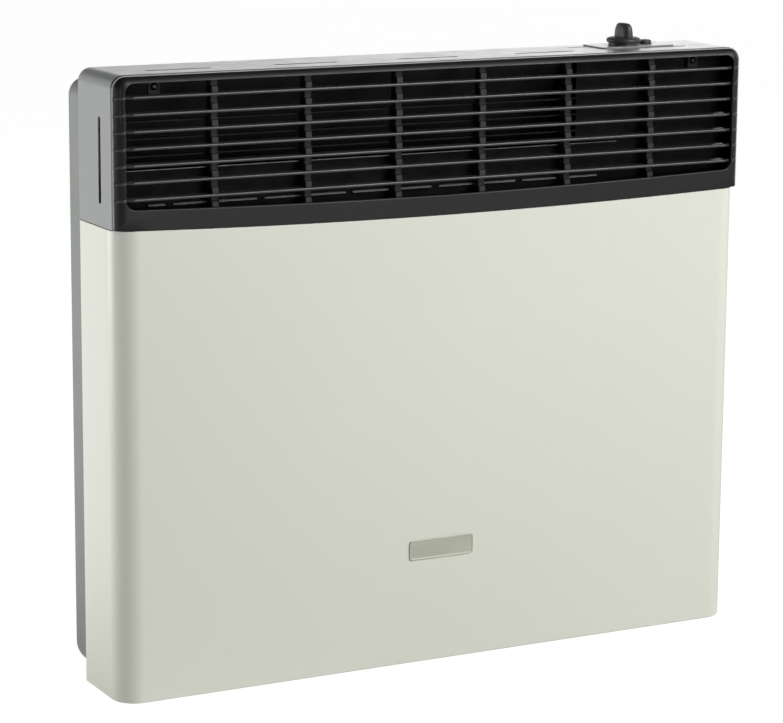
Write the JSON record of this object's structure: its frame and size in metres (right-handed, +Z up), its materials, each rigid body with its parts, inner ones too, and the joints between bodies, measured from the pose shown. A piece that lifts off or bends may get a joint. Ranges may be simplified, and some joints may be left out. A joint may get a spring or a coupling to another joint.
{
  "type": "wall mounted gas heater",
  "caption": "Flat wall heater with a cream front casing, dark hood, black louvre grille, top control knob and igniter button, and a flued gas exchanger inside.",
  "frame": {"origin": "middle of the pan's flat back, on the wall plane", "axes": "+X to the viewer's right, +Y into the wall, +Z up"},
  "size_m": [0.69, 0.1414, 0.6235],
  "materials": {
    "pan_grey": "satin grey baked enamel",
    "cream_enamel": "cream baked enamel, semi-gloss",
    "hood_grey": "dark grey baked enamel, semi-gloss",
    "grille_black": "black moulded plastic, satin",
    "black_sheet": "black heat-proof paint",
    "badge_silver": "satin anodised, bare",
    "knob_grey": "dark grey moulded plastic, fine texture",
    "steel": "bright steel",
    "blackened_steel": "blackened steel screws",
    "galvanised": "galvanised sheet",
    "spring_steel": "spring wire",
    "cast_aluminium": "as cast",
    "brass": "turned brass",
    "copper": "drawn copper tube",
    "stove_black": "heat-proof enamel",
    "fibre": "ceramic fibre sheet",
    "ceramic": "glazed ceramic tube",
    "glass": "clear heat-proof glass",
    "black_plastic": "moulded black plastic",
    "red_silicone": "silicone insulated lead"
  },
  "bodies": {
    "heater": {"rear_pan": "pan_grey", "front_casing": "cream_enamel", "top_hood": "hood_grey", "front_grille": "grille_black", "air_deflector": "black_sheet", "air_guide": "black_sheet", "valve_screen": "black_sheet", "badge_plate": "badge_silver", "control_plate": "hood_grey", "plunger_spring": "spring_steel", "gas_valve_body": "cast_aluminium", "gas_valve_bonnet": "black_plastic", "valve_bracket": "galvanised", "igniter_body": "black_plastic", "igniter_spring": "spring_steel", "igniter_nut": "black_plastic", "exchanger_body": "stove_black", "exchanger_cap_left": "stove_black", "exchanger_cap_right": "stove_black", "exchanger_baffle": "stove_black", "exchanger_bracket_left": "galvanised", "exchanger_bracket_right": "galvanised", "exhaust_spigot": "galvanised", "intake_spigot": "galvanised", "exhaust_gasket": "fibre", "intake_gasket": "fibre", "heat_shield": "galvanised", "shield_spacer_left": "galvanised", "shield_spacer_right": "galvanised", "sight_glass": "glass", "sight_glass_ring": "steel", "burner_gasket": "fibre", "burner_end_plate": "galvanised", "burner_tube": "steel", "injector": "brass", "pilot_burner": "brass", "electrode_insulator": "ceramic", "spark_electrode": "steel", "thermocouple": "copper", "supply_pipe": "copper", "inlet_union": "brass", "supply_nut": "brass", "manifold_nut": "brass", "manifold_pipe": "copper", "pilot_tube": "copper", "ignition_wire": "red_silicone", "thermostat_bulb": "copper", "bulb_clip": "galvanised", "pipe_bracket": "galvanised", "grille_screw_left": "blackened_steel", "grille_screw_right": "blackened_steel"},
    "knob_carrier": {"valve_plunger": "brass"},
    "knob": {"control_knob": "knob_grey", "knob_spindle": "steel"},
    "igniter_push_button": {"igniter_button": "knob_grey"}
  },
  "joints": [
    {"name": "knob_push", "type": "slide", "parent": "heater", "child": "knob_carrier", "axis": [0, 0, -1], "range_m": [0, 0.003], "stiffness_N_per_m": 900, "springref_m": -0.004, "deforming": ["plunger_spring"]},
    {"name": "knob_turn", "type": "hinge", "parent": "knob_carrier", "child": "knob", "pos_m": [0.24, -0.078, 0.312], "axis": [0, 0, 1], "range_deg": [0, 270]},
    {"name": "igniter_push", "type": "slide", "parent": "heater", "child": "igniter_push_button", "axis": [0, 0, -1], "range_m": [0, 0.0045], "stiffness_N_per_m": 900, "springref_m": -0.003, "deforming": ["igniter_spring"]}
  ]
}
